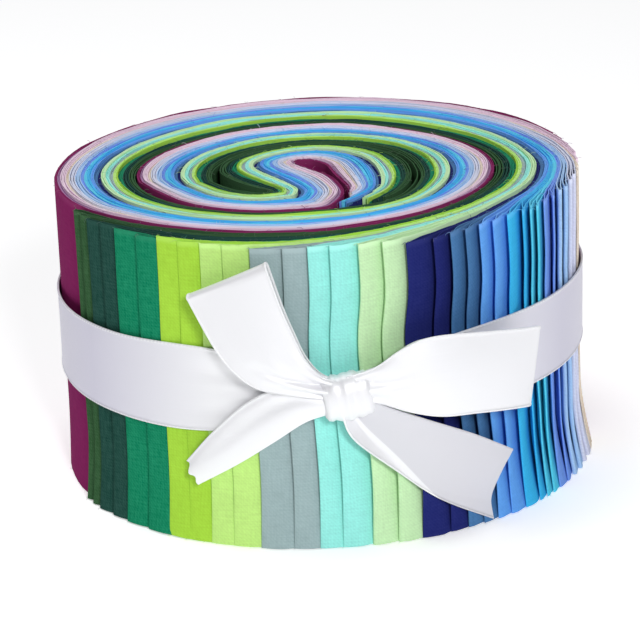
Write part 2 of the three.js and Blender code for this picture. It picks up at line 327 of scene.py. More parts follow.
# The roll's inner face of each turn, from the core out
windingTurn = [-0.056, 0, 0.125, 0.25, 0.375, 0.5, 0.583, 0.66, 0.75, 0.82, 0.89, 1, 1.125, 1.25, 1.375]
windingTurn += [1.5, 1.6, 1.67, 1.75, 1.82, 1.89, 1.929, 1.97, 2, 2.25, 2.5]
windingRadius = [22.6, 21.6, 19.9, 18.9, 19.7, 20.9, 24.4, 28.9, 30.4, 33.4, 36, 38, 34.8, 33.4, 33.4]
windingRadius += [37.6, 39.6, 41.2, 44.4, 46.8, 50.6, 53.6, 54.9, 55.5, 55.6, 55.6]

ribSteps = 4  # points from one rib to the next
# Ribs across the bundle at the core, from its inner face to its outer one
coreRibs = [
    ((-21.4, -7.8), (-34.0, -12.4)),
    ((-16.8, -14.1), (-26.9, -22.6)),
    ((-12.2, -16.9), (-18.9, -27.8)),
    ((-10.4, -16.7), (-11.0, -30.2)),
    ((-9.8, -16.1), (-4.0, -30.1)),
    ((-9.7, -15.5), (1.9, -29.3)),
    ((-10.0, -14.9), (4.3, -25.2)),
    ((-10.8, -14.1), (5.7, -19.4)),
    ((-12.8, -12.5), (4.9, -13.3)),
    ((-15.8, -9.4), (2.9, -7.2)),
    ((-18.6, -5.0), (-0.2, -2.6)),
    ((-20.2, 0.0), (-2.9, 1.2)),
    ((-19.2, 6.2), (-4.0, 3.6)),
    ((-15.6, 11.0), (-3.8, 4.6)),
    ((-10.6, 14.8), (-3.0, 5.1)),
    ((-3.9, 17.6), (-1.8, 5.1)),
    ((3.4, 18.0), (-0.4, 4.6)),
    ((10.4, 15.0), (1.0, 3.2)),
    ((15.6, 9.8), (2.3, 0.9)),
    ((18.6, 3.4), (3.1, -2.6)),
    ((19.9, -4.0), (4.0, -6.6)),
    ((19.6, -11.0), (5.3, -11.2)),
    ((17.4, -18.0), (6.5, -16.6)),
    ((13.2, -24.6), (4.8, -20.8)),
    ((10.6, -28.0), (1.6, -24.4)),
]

# Two strips of each colour, from the roll's inner face to its outer one: their fold edges at the top rim,
# how high they stand, and the share of the bundle that each takes
colours = [
    {"name": "moss", "look": (52, 94, 56), "folds": (-154.0, -150.6), "lift": 0.00, "share": 1.60},
    {"name": "bottle", "look": (28, 76, 66), "folds": (-147.5, -142.3), "lift": -0.15, "share": 1.50},
    {"name": "green", "look": (3, 137, 97), "folds": (-137.5, -131.0), "lift": -0.30, "share": 1.25},
    {"name": "lime", "look": (172, 222, 66), "folds": (-125.3, -120.2), "lift": 0.20, "share": 0.45},
    {"name": "paleLime", "look": (196, 240, 132), "folds": (-115.0, -110.0), "lift": 0.20, "share": 0.75},
    {"name": "grey", "look": (160, 182, 184), "folds": (-104.2, -97.5), "lift": -0.15, "share": 0.95},
    {"name": "aqua", "look": (154, 238, 228), "folds": (-92.4, -88.0), "lift": 0.20, "share": 0.95},
    {"name": "mint", "look": (201, 240, 186), "folds": (-82.2, -77.2), "lift": 0.25, "share": 1.20},
    {"name": "navy", "look": (24, 34, 110), "folds": (-72.3, -66.2), "lift": -0.45, "share": 0.85},
    {"name": "slate", "look": (70, 120, 172), "folds": (-62.2, -58.5), "lift": -0.25, "share": 0.90},
    {"name": "cornflower", "look": (98, 166, 252), "folds": (-55.0, -51.2), "lift": 0.10, "share": 0.85},
    {"name": "sky", "look": (56, 186, 246), "folds": (-47.0, -42.2), "lift": 0.20, "share": 0.88},
    {"name": "turquoise", "look": (88, 212, 246), "folds": (-39.5, -37.0), "lift": 0.15, "share": 0.80},
    {"name": "periwinkle", "look": (116, 158, 240), "folds": (-34.0, -30.0), "lift": -0.05, "share": 0.85},
    {"name": "babyBlue", "look": (166, 202, 248), "folds": (-26.0, -22.0), "lift": 0.10, "share": 1.40},
    {"name": "paleLavender", "look": (214, 218, 242), "folds": (-18.0, -14.0), "lift": 0.25, "share": 1.55},
    {"name": "cream", "look": (228, 214, 196), "folds": (-10.0, -6.0), "lift": -0.10, "share": 0.80},
    {"name": "palePink", "look": (234, 208, 226), "folds": (-2.0, 2.0), "lift": 0.25, "share": 1.40},
    {"name": "mauve", "look": (168, 124, 168), "folds": (6.0, 10.5), "lift": -0.10, "share": 0.80},
    {"name": "purple", "look": (140, 25, 96), "folds": (15.0, 20.0), "lift": 0.12, "share": 0.80},
]
foldEdges = np.array([edge for colour in colours for edge in colour["folds"]])
stripCount = len(foldEdges)
faceScale = np.cumsum([0] + [colour["share"] for colour in colours for _ in colour["folds"]])
faceScale *= stripCount / faceScale[-1]


def atAngle(name, deg):
    return np.interp(deg, *byAngle[name])


def polarPoints(radius, deg, z):  # millimetres and degrees round the roll's axis, to metres
    angle = np.radians(deg)
    return np.stack([radius * np.cos(angle) * mm, radius * np.sin(angle) * mm + axisY, z * mm], axis=-1)


def faceRadius(turn):
    return smooth(windingTurn, windingRadius, turn)


def faceDepth(face, deg, room):
    # how far below the roll's outside the face under strip number face lies, at this angle
    at = np.interp(deg, foldEdges, np.arange(stripCount))
    at = np.floor(at) + (at - np.floor(at)) ** roll["foldHold"]
    count = np.interp(at, np.arange(stripCount), faceScale[1:])
    flat = np.maximum(deg - foldEdges[-1], 0) / roll["foldPitch"]
    soft = roll["foldSoftness"]
    step = atAngle("foldStrength", deg) * roll["foldStep"]
    spread = soft * (np.exp(-flat / soft) - np.exp(-(flat + count) / soft))
    pitch = (room - step * spread) / (count - spread)
    down = np.maximum(count - faceScale[face], 0)
    return pitch * down + (step - pitch) * soft * (np.exp(-flat / soft) - np.exp(-(flat + down) / soft))


def turnAt(deg):  # the turn at this angle on the roll's outside
    return 1 + (180 - deg) / 360


def windingPoint(face, turn):
    deg = 180 - 360 * (turn - 1)
    outer = np.where(deg > foldEdges[-1], faceRadius(turn + 1) - roll["turnGap"], roll["radius"])
    inner = faceRadius(turn)
    radius = outer - faceDepth(face, deg, outer - inner)
    return deg, radius, (radius - inner) / (outer - inner)


def corePoints(share):
    at = np.linspace(len(coreRibs) - 1, 0, (len(coreRibs) - 1) * ribSteps + 1)
    rows = np.arange(len(coreRibs))
    ends = []
    for face in (0, 1):
        columns = [smooth(rows, [rib[face][k] for rib in coreRibs], at) for k in (0, 1)]
        ends.append(np.stack(columns, axis=1))
    return ends[0] + (ends[1] - ends[0]) * share


def lipRise(strip, deg, room):
    # how far a strip's inner layer rises off the one beneath on its way to the fold, within its room
    away = np.radians(np.maximum(deg - foldEdges[strip], 0)) * roll["radius"]
    high = atAngle("foldStrength", foldEdges[strip]) ** 2 * roll["foldGap"]
    rise = high * np.clip(1 - away / roll["lipLength"], 0, 1) ** 1.5
    return np.minimum(rise, np.maximum(room - roll["fullThick"] * roll["lipRoom"], 0))


# How far the innermost layer hangs into the slots round the core
coreSlack = {
    "ribs": ([9, 12, 15, 16, 18, 22, 23], [0, 0.035, 0.02, 0.02, 0.035, 0.04, 0]),  # shares of a rib
    "turns": ([0, 0.06, 0.2, 0.28, 0.36, 0.62, 0.68], [0, 0.45, 0.3, 0.1, 0.45, 0.6, 0]),  # millimetres
}

# All in turns, counted from the core's end
turnSteps = {
    "inner": np.linspace(-0.03, 0.5, 64),
    "outer": np.linspace(0.5, 1.444, 88)[1:],
    "shingled": 0.004,  # from point to point where the folds lie
    "beforeFold": 0.003,
    "outside": (1.3, 0.15),  # from here on, and over so much, the layers come to show outside
    "outsideLast": (0.905, 0.012),  # the same for the last strip, which shows round the back
}


def layerTurns(lastTurn):
    step, end = turnSteps["shingled"], lastTurn - turnSteps["beforeFold"]
    loose = np.concatenate([turnSteps["inner"], turnSteps["outer"]])
    loose = loose[loose < lastTurn - 3 * step]
    shingled = np.arange(loose[-1] + step, end - step / 2, step)
    return np.concatenate([loose, shingled, [end]])


def outsideShare(turns, name):
    start, over = turnSteps[name]
    return np.clip((turns - start) / over, 0, 1)


def layerRoute(strip, outerLayer, lacking):
    # one layer of a strip from the core to its fold: x, y, how far out it lies, and the cloth's thickness
    low, high = corePoints(faceScale[strip] / stripCount), corePoints(faceScale[strip + 1] / stripCount)
    room = np.linalg.norm(high - low, axis=1)
    offset = np.minimum(room / 4, roll["fullThick"] / 2)
    share = (1 - offset / room if outerLayer else offset / room)[:, None]
    innermost = strip == 0 and not outerLayer
    if innermost:
        rib = np.linspace(len(coreRibs) - 1, 0, len(share))
        share = share - np.interp(rib, *coreSlack["ribs"])[:, None]
    core = (low + (high - low) * share)[lacking:]
    coreThick = 2 * offset[lacking:] * roll["packing"]
    turns = layerTurns(turnAt(foldEdges[strip]))
    deg, lowRadius, _ = windingPoint(strip, turns)
    highRadius, depth = windingPoint(strip + 1, turns)[1:]
    room = highRadius - lowRadius
    offset = np.minimum(room / 4, roll["fullThick"] / 2)
    radius = highRadius - offset if outerLayer else lowRadius + offset + lipRise(strip, deg, room)
    if innermost:
        radius = radius - np.interp(turns, *coreSlack["turns"])
    x = np.concatenate([core[:, 0], radius * np.cos(np.radians(deg))])
    y = np.concatenate([core[:, 1], radius * np.sin(np.radians(deg))])
    outward = outsideShare(turns, "outside") * depth
    if outerLayer and strip == stripCount - 1:
        outward = outsideShare(turns, "outsideLast")
    out = np.concatenate([np.zeros(len(core)), outward])
    return np.stack([x, y, out, np.concatenate([coreThick, 2 * offset * roll["packing"]])], axis=1)


nose = {"least": 0.08, "swing": 80, "points": 9}  # half its height at least, and degrees either way


def foldNose(strip):
    # points round the fold, from the inner layer's side to the outer layer's
    fold = foldEdges[strip]
    turn = turnAt(fold)
    thick = roll["fullThick"] * roll["packing"]
    topRadius = windingPoint(strip + 1, turn)[1]
    lowRadius = windingPoint(strip, turn)[1]
    lowRadius = lowRadius + lipRise(strip, fold, topRadius - lowRadius)
    middle = (lowRadius + topRadius) / 2
    half = max((topRadius - lowRadius - thick) / 2, nose["least"])
    swing = np.radians(np.linspace(-nose["swing"], nose["swing"], nose["points"]))
    reach = np.degrees(half / topRadius) * (1 - np.cos(swing))
    radius = middle + half * np.sin(swing)
    angle = np.radians(fold + reach)
    ones = np.ones(len(swing))
    return np.stack([radius * np.cos(angle), radius * np.sin(angle), ones, ones * thick], axis=1)


cottonLook = {
    "thread": 0.32 * mm,  # from one thread to the next
    "slant": 2.6,  # threads from one slanting line to the next
    "slubScale": 2600,
    "cloudScale": 90,
    "drawnOut": 0.12,  # a slub's width as a share of its length
    "weave": 0.10,  # how much the threads, the slanting lines, the slubs and the clouds show
    "twill": 0.05,
    "slubs": 1.1,
    "clouds": 0.3,
    "dark": 0.72,
    "light": 1.15,
    "worn": 62.2 * mm,  # from here up the cut edge is paler
    "wear": 0.75,
    "relief": 0.05 * mm,
    "rough": {"Roughness": 0.92, "Specular IOR Level": 0.03},
}


def cottonShader(name, look, seed, weaveShare):
    cotton = Shader(name)
    place, u, v = cotton.uv()
    perThread = 2 * math.pi / cottonLook["thread"]
    weave = (u * perThread).sin() * (v * perThread).sin()
    slant = ((u + v) * (perThread / cottonLook["slant"])).sin()
    moved = cotton.mapped(place, "Location", (seed, seed * 0.37, 0))
    long = cotton.mapped(moved, "Scale", (cottonLook["drawnOut"], 1.0, 1.0))
    tall = cotton.mapped(moved, "Scale", (1.0, cottonLook["drawnOut"], 1.0))
    slubScale = cottonLook["slubScale"]
    slubs = cotton.noise(long, slubScale, 3) * 0.5 + cotton.noise(tall, slubScale, 3) * 0.5
    cloudy = cotton.noise(moved, cottonLook["cloudScale"], 3)
    base = linear(look)
    dark = tuple(c * cottonLook["dark"] for c in base)
    light = tuple(min(c * cottonLook["light"] + 0.02, 1) for c in base)
    woven = weave * cottonLook["weave"] + slant * cottonLook["twill"] + (slubs - 0.5) * cottonLook["slubs"]
    shade = (woven * weaveShare + (cloudy - 0.5) * cottonLook["clouds"] + 0.5).clamp()
    colour = cotton.mix(shade, dark, light)
    edgeWear = ((v - cottonLook["worn"]) * 1400).clamp()
    paler = 0.01 + 0.14 * sum(base) / 3
    edgeLook = tuple(min(c * 1.03 + paler, 1) for c in base)
    colour = cotton.mix(edgeWear * cottonLook["wear"], colour, edgeLook)
    cotton.feedSurface({"Base Color": colour, **cottonLook["rough"]})
    cotton.bump(weave * 0.5 + slant * 0.15 + slubs * 1.2, cottonLook["relief"], 0.3 * weaveShare)
    return cotton.material


rng = np.random.default_rng(roll["seed"])
threadRoots = []  # place, colour, size and flatness of each frayed thread


def coreEnd(strip):  # how many quarters of a rib each of a strip's two layers stops short at the core
    if strip >= 28:
        return [4 + (strip - 28) // 3, 5 + (strip - 28) // 3]
    return rng.integers(0, 3, 2) if strip >= 16 else rng.integers(3, 7, 2)


cutEdges = {
    "below": 0.18,  # how far under the full width the top edges stand
    "uneven": 0.14,  # from strip to strip
    "waves": [(0.10, 9), (0.08, 23), (0.07, 3.7)],  # height and length of the waves along a strip
    "fuzz": 0.05,
    "foot": 0.15,
    "footWaves": 0.3,  # the share of the waves that the lower edges have
    "footLeast": 0.02,
    "footGap": 0.15,  # how much higher the folds' lower ends stand
}

foldShape = {
    "fineBefore": 4,  # a strip has its fine rows from here before its fold
    "shown": 11,  # to here after it
    "shownLast": 190,  # the last strip's outside shows all round the back
    "near": 9,  # how far from the fold the cloth sways and puffs
    "heights": [0, 14, 26, 35, 44, 53, 63.5],
    "sway": [0.4, 1.1, 0.4, -0.5, -0.7, 0.4, 0.3],  # how the ribbon draws the folds sideways, at each height
    "footHeight": 15,  # the foot spreads and is drawn in below this height
    "drawnShare": 0.8,
    "drawnOver": 4.5,
}
# The rows of points up a strip, as shares of its height
hiddenRows = np.array([0, 0.015, 0.1, 0.24, 0.985, 1])
shownRows = np.array([0, 0.015, *np.linspace(0.05, 0.95, 21), 0.985, 1])


def edgeHeights(length, phases, colour):
    # a strip's cut edges wander up and down along its length
    lift = colour["lift"] + rng.uniform(-cutEdges["uneven"], cutEdges["uneven"])
    waves = zip(cutEdges["waves"], phases)
    wander = sum(high * np.sin(length / wave + phase) for (high, wave), phase in waves)
    wander = wander + rng.uniform(-cutEdges["fuzz"], cutEdges["fuzz"], len(length))
    foot = cutEdges["foot"] + cutEdges["footWaves"] * wander
    return np.maximum(foot, cutEdges["footLeast"]), roll["height"] - cutEdges["below"] + lift + wander


def shapedPoints(part, z, shares, away, near, phases, pull):
    # leans and sways a part of a strip, puffs it, and spreads its foot; pull is how far the fold is
    # drawn in at the foot and how much of the sway it has
    footDraw, swayShare = pull
    outward = part[:, 2:3]
    radius = np.linalg.norm(part[:, :2], axis=1)[:, None]
    deg = np.degrees(np.arctan2(part[:, 1], part[:, 0]))[:, None]
    leanShare = np.clip((deg - roll["leanFrom"]) / roll["leanOver"], 0, 1)
    leanShare = leanShare**2 * (3 - 2 * leanShare) * np.clip((roll["leanTo"] - deg) / roll["leanOver"], 0, 1)
    turned = roll["foldLean"] * leanShare * outward * (1 - shares)
    sway = smooth(foldShape["heights"], foldShape["sway"], z)
    wave = swayShare * sway + 0.05 * np.sin(z / 9 + phases[3])
    turned += outward * near * np.degrees(wave / roll["radius"])
    puff = 0.10 * np.sin(z / 7 + deg / 11) + 0.03 * np.sin(z / 3.3 + phases[4])
    low = np.clip(1 - z / foldShape["footHeight"], 0, 1) ** 1.5
    drawn = foldShape["drawnShare"] * footDraw * low * np.clip(1 - away / foldShape["drawnOver"], 0, 1)
    radius = radius + (puff * near - drawn + atAngle("flare", deg) * low) * outward
    return polarPoints(radius, deg + turned, z)


def addStrip(strip, material, colour):
    lackInner, lackOuter = coreEnd(strip)
    inner, outer = layerRoute(strip, False, lackInner), layerRoute(strip, True, lackOuter)
    plan = np.concatenate([inner, foldNose(strip), outer[::-1]])
    run = np.gradient(plan[:, :2], axis=0)
    run /= np.linalg.norm(run, axis=1, keepdims=True)
    length = np.concatenate([[0], np.cumsum(np.linalg.norm(np.diff(plan[:, :2], axis=0), axis=1))])
    fold = len(inner) + nose["points"] // 2
    away = np.abs(length - length[fold])
    phases = rng.uniform(0, 2 * math.pi, 5)
    foot, top = edgeHeights(length, phases, colour)
    footDraw = atAngle("foldStrength", foldEdges[strip]) * roll["foldStep"]
    pull = footDraw, atAngle("foldSway", foldEdges[strip]) * rng.uniform(0.9, 1.1)
    shown = foldShape["shownLast" if strip == stripCount - 1 else "shown"]
    first = min(np.searchsorted(-away[:fold], -foldShape["fineBefore"]), len(inner) - 3)
    last = fold + np.searchsorted(away[fold:], shown)
    grids = []
    stretches = [(0, first + 1, hiddenRows), (first, last + 1, shownRows), (last, len(plan), hiddenRows)]
    for start, end, rows in stretches:
        part, shares, gap = plan[start:end], rows[None, :], away[start:end, None]
        near = np.clip(1 - gap / foldShape["near"], 0, 1)
        feet = foot[start:end, None] + cutEdges["footGap"] * np.clip(near * 3, 0, 1)
        z = feet + (top[start:end, None] - feet) * shares
        points = shapedPoints(part, z, shares, gap, near, phases, pull)
        normals = np.zeros_like(points)
        normals[..., 0], normals[..., 1] = run[start:end, None, 1], -run[start:end, None, 0]
        along = (length[start:end] * mm)[:, None]
        grids.append(clothGrid(points, normals, part[:, 3:4] * mm, along, shares * roll["height"] * mm))
        noteThreads(points, part[:, 2], colour["look"])
    piece = clothMesh(f"strip_{strip:02d}_{colour['name']}", grids, material)
    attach(piece, "root")
    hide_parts("fabric_roll")
    return length[-1], sum(len(grid[1]) for grid in grids) * 2


def noteThreads(points, outward, look):
    # loose threads stand on the cut edges, more of them at the top
    def note(place, size, flat):
        threadRoots.append({"place": place, "look": look, "size": size, "flat": flat})

    for i in rng.integers(0, len(points), len(points) // frays["spacing"]):
        note(points[i, -1], 1.0, 0.0)
    shown = np.flatnonzero(outward > 0.95)
    if len(shown):
        for i in rng.choice(shown, frays["outside"]):
            note(points[i, 0], 0.7, 0.7)
            note(points[i, -1], 1.0, 0.3)


def addStrips():
    lengths, faces = [], 0
    for number, colour in enumerate(colours):
        weaveShare = 2.3 if number < 3 else 0.9  # the dark greens have a coarser weave
        material = cottonShader(f"cotton_{colour['name']}", colour["look"], number * 1.7 + 0.3, weaveShare)
        for _ in colour["folds"]:
            length, count = addStrip(len(lengths), material, colour)
            lengths.append(length)
            faces += count
    print("stage: strips, from", round(min(lengths)), "to", round(max(lengths)), "mm,", faces, "triangles")


# Frayed threads, scattered on the cut edges by Geometry Nodes

frays = {
    "spacing": 6,  # points of a cut edge to each thread
    "outside": 3,  # more of them by each fold, above and below
    "length": 0.9,
    "radius": 0.035,
    "bend": 0.7,  # how far its tip leans over, as a share of its length
    "seed": 5,
    "lean": (0.5, 1.45),  # radians from upright
    "lying": 1.5,  # the same, of a thread that lies flat
    "round": (0.0, 6.28),
    "stretch": (0.35, 1.25),
}
looseThreads = [  # place on the top face from the roll's axis, colour, and size
    {"at": (2.0, 38.6), "look": (120, 20, 50), "size": 7.0},
    {"at": (28.6, 25.7), "look": (190, 230, 200), "size": 4.0},
    {"at": (29.6, 24.9), "look": (210, 236, 220), "size": 3.0},
    {"at": (-12.5, 34.0), "look": (200, 225, 240), "size": 3.0},
    {"at": (-31.0, -41.0), "look": (225, 225, 240), "size": 3.5},
]


def threadTree():
    # grows a short bent thread on each point of a mesh; gives the tree and its inputs' identifiers
    tree = bpy.data.node_groups.new("frayedThreads", "GeometryNodeTree")
    face = tree.interface
    face.new_socket("Geometry", in_out="INPUT", socket_type="NodeSocketGeometry")
    kinds = {"Length": "Float", "Radius": "Float", "Bend": "Float", "Seed": "Int", "Material": "Material"}
    sockets = {}
    for name, kind in kinds.items():
        sockets[name] = face.new_socket(name, in_out="INPUT", socket_type=f"NodeSocket{kind}").identifier
    face.new_socket("Geometry", in_out="OUTPUT", socket_type="NodeSocketGeometry")
    into = tree.nodes.new("NodeGroupInput")
    out = tree.nodes.new("NodeGroupOutput")

    def node(kind, settings=None, values=None, output=0):
        made = tree.nodes.new(kind)
        for key, setting in (settings or {}).items():
            setattr(made, key, setting)
        for key, value in (values or {}).items():
            if isinstance(value, bpy.types.NodeSocket):
                tree.links.new(value, made.inputs[key])
            else:
                made.inputs[key].default_value = value
        return made.outputs[output]

    def number(operation, a, b):
        return node("ShaderNodeMath", {"operation": operation}, {0: a, 1: b})

    tall = into.outputs["Length"]
    bent = number("MULTIPLY", tall, into.outputs["Bend"])
    middle = node("ShaderNodeCombineXYZ", None, {"Z": number("MULTIPLY", tall, 0.75)})
    tip = node("ShaderNodeCombineXYZ", None, {"X": bent, "Z": tall})
    arc = {"Resolution": 3, "Start": (0, 0, 0), "Middle": middle, "End": tip}
    curve = node("GeometryNodeCurveQuadraticBezier", None, arc)
    ring = node("GeometryNodeCurvePrimitiveCircle", None, {"Resolution": 3, "Radius": into.outputs["Radius"]})
    sweep = {"Curve": curve, "Profile Curve": ring, "Fill Caps": True}
    thread = node("GeometryNodeCurveToMesh", None, sweep)
    spots = node("GeometryNodeMeshToPoints", None, {"Mesh": into.outputs["Geometry"]})
    read = {"data_type": "FLOAT"}
    down = node("GeometryNodeInputNamedAttribute", read, {"Name": "flat"})
    size = node("GeometryNodeInputNamedAttribute", read, {"Name": "size"})

    def chance(low, high, salt):
        seed = number("ADD", into.outputs["Seed"], salt)
        values = {2: low, 3: high, "Seed": seed}
        return node("FunctionNodeRandomValue", {"data_type": "FLOAT"}, values, 1)

    def tilted(lean, salt):
        return node("ShaderNodeCombineXYZ", None, {"Y": lean, "Z": chance(*frays["round"], salt)})

    lean = chance(*frays["lean"], 1)
    turned, lying = tilted(lean, 2), tilted(frays["lying"], 3)
    angle = node("ShaderNodeMix", {"data_type": "VECTOR"}, {0: down, 4: turned, 5: lying}, 1)
    turn = node("FunctionNodeEulerToRotation", None, {0: angle})
    stretched = number("MULTIPLY", chance(*frays["stretch"], 4), size)
    thickness = number("POWER", stretched, 0.25)
    scale = node("ShaderNodeCombineXYZ", None, {"X": stretched, "Y": thickness, "Z": stretched})
    spread = {"Points": spots, "Instance": thread, "Rotation": turn, "Scale": scale}
    placed = node("GeometryNodeInstanceOnPoints", None, spread)
    real = node("GeometryNodeRealizeInstances", None, {0: placed})
    done = node("GeometryNodeSetMaterial", None, {0: real, "Material": into.outputs["Material"]})
    tree.links.new(done, out.inputs[0])
    return tree, sockets


def threadSpots():
    # a mesh of single points, one for each thread's root
    for loose in looseThreads:
        place = (loose["at"][0] * mm, loose["at"][1] * mm + axisY, (roll["height"] + 0.05) * mm)
        threadRoots.append({"place": place, "look": loose["look"], "size": loose["size"], "flat": 1.0})
    mesh = bpy.data.meshes.new("threadSpots")
    mesh.from_pydata([tuple(root["place"]) for root in threadRoots], [], [])
    tints = mesh.attributes.new("threadColour", "FLOAT_COLOR", "POINT")
    pale = [tuple(0.88 * c + 0.08 for c in linear(root["look"])) + (1.0,) for root in threadRoots]
    tints.data.foreach_set("color", np.array(pale).ravel())
    for name in ("size", "flat"):
        values = [root[name] for root in threadRoots]
        mesh.attributes.new(name, "FLOAT", "POINT").data.foreach_set("value", values)
    return mesh


def addThreads():
    tree, sockets = threadTree()
    fray = Shader("frayedCotton")
    tint = fray.node("ShaderNodeAttribute", {"attribute_name": "threadColour"}).link("Color")
    fray.feedSurface({"Base Color": tint, "Roughness": 0.9})
    spots = addObject("threadSpots", threadSpots())
    grow = spots.modifiers.new("grow", "NODES")
    grow.node_group = tree
    inputs = {"Length": frays["length"] * mm, "Radius": frays["radius"] * mm, "Bend": frays["bend"]}
    for name, value in {**inputs, "Seed": frays["seed"], "Material": fray.material}.items():
        grow[sockets[name]] = value
    graph = bpy.context.evaluated_depsgraph_get()
    made = bpy.data.meshes.new_from_object(spots.evaluated_get(graph), depsgraph=graph)
    made.name = "frayedThreads"
    piece = addObject("frayedThreads", made)
    bpy.data.objects.remove(spots)
    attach(piece, "root")
    print("stage: threads,", len(threadRoots), "of them,", len(made.polygons), "faces")


# The ribbon

ribbon = {"width": 16.5, "thick": 0.28, "edge": 0.5, "seat": 0.4}
satinLook = {
    "whites": ((236, 236, 239), (245, 245, 248)),  # in and between its streaks
    # painted shade: the greyer white of the band where it turns from the light
    "grey": (206, 204, 220),
    "edge": (246, 246, 248),
    # painted shade on the right tail's facet that turns from the light
    "reverse": (214, 213, 219),
    "streaks": (30.0, 900.0, 1.0),
    "ribs": (2200.0, 110.0, 1.0),
    "edgeFrom": 0.945,  # the woven edge, from the ribbon's middle out
    "stitch": 0.9 * mm,
    "gloss": {"Metallic": 0.3, "Specular IOR Level": 0.5, "Sheen Weight": 0.15},
}


def satinShader(name, paintedShadeSpan=None, paintedShadeBelow=None):
    # greyer span of a band: between these lengths, in metres, shade is painted on as a greyer white, everywhere
    # but near the knot, where the band turns from the light
    # for a tail: shade is painted on as a greyer white across the width up to this share, and so much more for
    # each metre of length, on the facet that turns from the light
    satin = Shader(name)
    place, u, v = satin.uv()
    sheen = satin.noise(satin.mapped(place, "Scale", satinLook["streaks"]), 1.0, 2)
    ribs = satin.noise(satin.mapped(place, "Scale", satinLook["ribs"]), 1.0, 1)
    edge = (((v - 0.5).absolute() * 2 - satinLook["edgeFrom"]) * 60).clamp()
    stitches = (u * (2 * math.pi / satinLook["stitch"])).sin() * 0.5 + 0.5
    white = satin.mix(sheen, *[linear(look) for look in satinLook["whites"]])
    # painted shade: away from the knot the band turns a greyer white, where it faces away from the light
    if paintedShadeSpan:
        first, last = paintedShadeSpan
        paintedShadeMask = ((u - first) * 30).clamp() * ((last - u) * 30).clamp()
        white = satin.mix(paintedShadeMask, white, linear(satinLook["grey"]))
    white = satin.mix(edge * (stitches * 0.5 + 0.3), white, linear(satinLook["edge"]))
    # painted shade: the tail's facet that turns from the light is painted a greyer white
    if paintedShadeBelow:
        start, more = paintedShadeBelow
        white = satin.mix(((u * more + start - v) * 60).clamp(), white, linear(satinLook["reverse"]))
    roughness = 0.36 + sheen * 0.12 + edge * 0.3
    satin.feedSurface({"Base Color": white, "Roughness": roughness, **satinLook["gloss"]})
    satin.bump(ribs * 0.4 + sheen * 0.5 + edge * (stitches + 1.0) * 1.2, 0.06 * mm, 0.6)
    return satin.material


def drumPoints(deg, z, stand):  # stand is how far off the roll's outside
    return polarPoints(roll["radius"] + stand, deg, z)


def surfaceNormals(points):
    down = np.gradient(points, axis=0)
    side = np.gradient(points, axis=1)
    normals = np.cross(down, side)
    return normals / np.maximum(np.linalg.norm(normals, axis=2, keepdims=True), 1e-12)


# From edge to edge of the ribbon, closer together at the woven edges
crossings = np.array([0, 0.012, 0.024, 0.036, 0.05, *np.linspace(0.08, 0.92, 25), 0.95, 0.964, 0.976, 0.988, 1])


def ribbonThickness():
    fromEdge = np.minimum(crossings, 1 - crossings)
    beaded = np.sqrt(np.clip(1 - ((fromEdge - 0.015) / 0.02) ** 2, 0.05, 1)) * ribbon["edge"]
    return np.maximum(beaded * (fromEdge < 0.035), ribbon["thick"]) * mm


def tableAt(table, t):
    return {key: smooth(np.arange(len(column)), column, t * (len(column) - 1)) for key, column in table.items()}


def addRibbonPiece(name, points, material):
    middle = points.mean(axis=1)
    length = np.concatenate([[0], np.cumsum(np.linalg.norm(np.diff(middle, axis=0), axis=1))])
    thick = ribbonThickness()[None, :]
    grid = clothGrid(points, surfaceNormals(points), thick, length[:, None], crossings[None, :])
    piece = clothMesh(name, [grid], material, 60)
    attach(piece, "root")
    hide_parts("ribbon_bow")


def between(at, share):  # angle and height across the ribbon, from edge A to edge B
    return [at[f"{key}A"][:, None] * (1 - share) + at[f"{key}B"][:, None] * share for key in ("deg", "z")]


band = {
    "table": {  # its lower and upper edge and how far it lifts off the roll, by angle
        "deg": [-84, -76, -62, -30, 0, 60, 120, 180, 220, 246, 256, 264, 271],
        "low": [31.0, 29.5, 27.0, 26.2, 26.0, 25.2, 24.2, 23.4, 23.6, 24.6, 27.6, 30.6, 31.2],
        "high": [37.5, 39.5, 42.4, 43.0, 42.8, 42.0, 41.2, 40.6, 41.2, 42.0, 40.0, 37.6, 37.0],
        "lift": [1.2, 0.8, 0.0, 0.0, 0.0, 0.0, 0.0, 0.0, 0.0, 0.0, 0.3, 0.9, 1.2],
    },
    "points": 280,
    "flat": (0.0168, 0.362),
    # between these lengths, in metres, shade is painted on the band
    "grey": (0.022, 0.322),
    "gathers": (-58, 238),  # past these angles it gathers towards the knot
    "gatherOver": 24,
}


def addBand(material):
    table = band["table"]
    deg = np.linspace(table["deg"][0], table["deg"][-1], band["points"])[:, None]
    low, high, lift = (smooth(table["deg"], table[name], deg) for name in ("low", "high", "lift"))
    across = crossings[None, :]
    first, last = band["gathers"]
    gather = np.clip(np.maximum(deg - last, first - deg) / band["gatherOver"], 0, 1)
    pleats = 1.1 * gather**1.4 * np.cos((across - 0.47) * 2 * math.pi * 2.2) * np.cos((across - 0.5) * 2.4)
    groove = -1.3 * gather**1.2 * np.exp(-(((across - 0.47) / 0.10) ** 2))
    slack = 0.12 * np.sin(np.radians(deg) * 5 + across * 2) + 0.1
    stand = ribbon["seat"] + lift + np.maximum(pleats + groove, -0.3) + slack
    points = drumPoints(deg + 0 * across, low + (high - low) * across, stand)
    addRibbonPiece("ribbon_band", points, material)


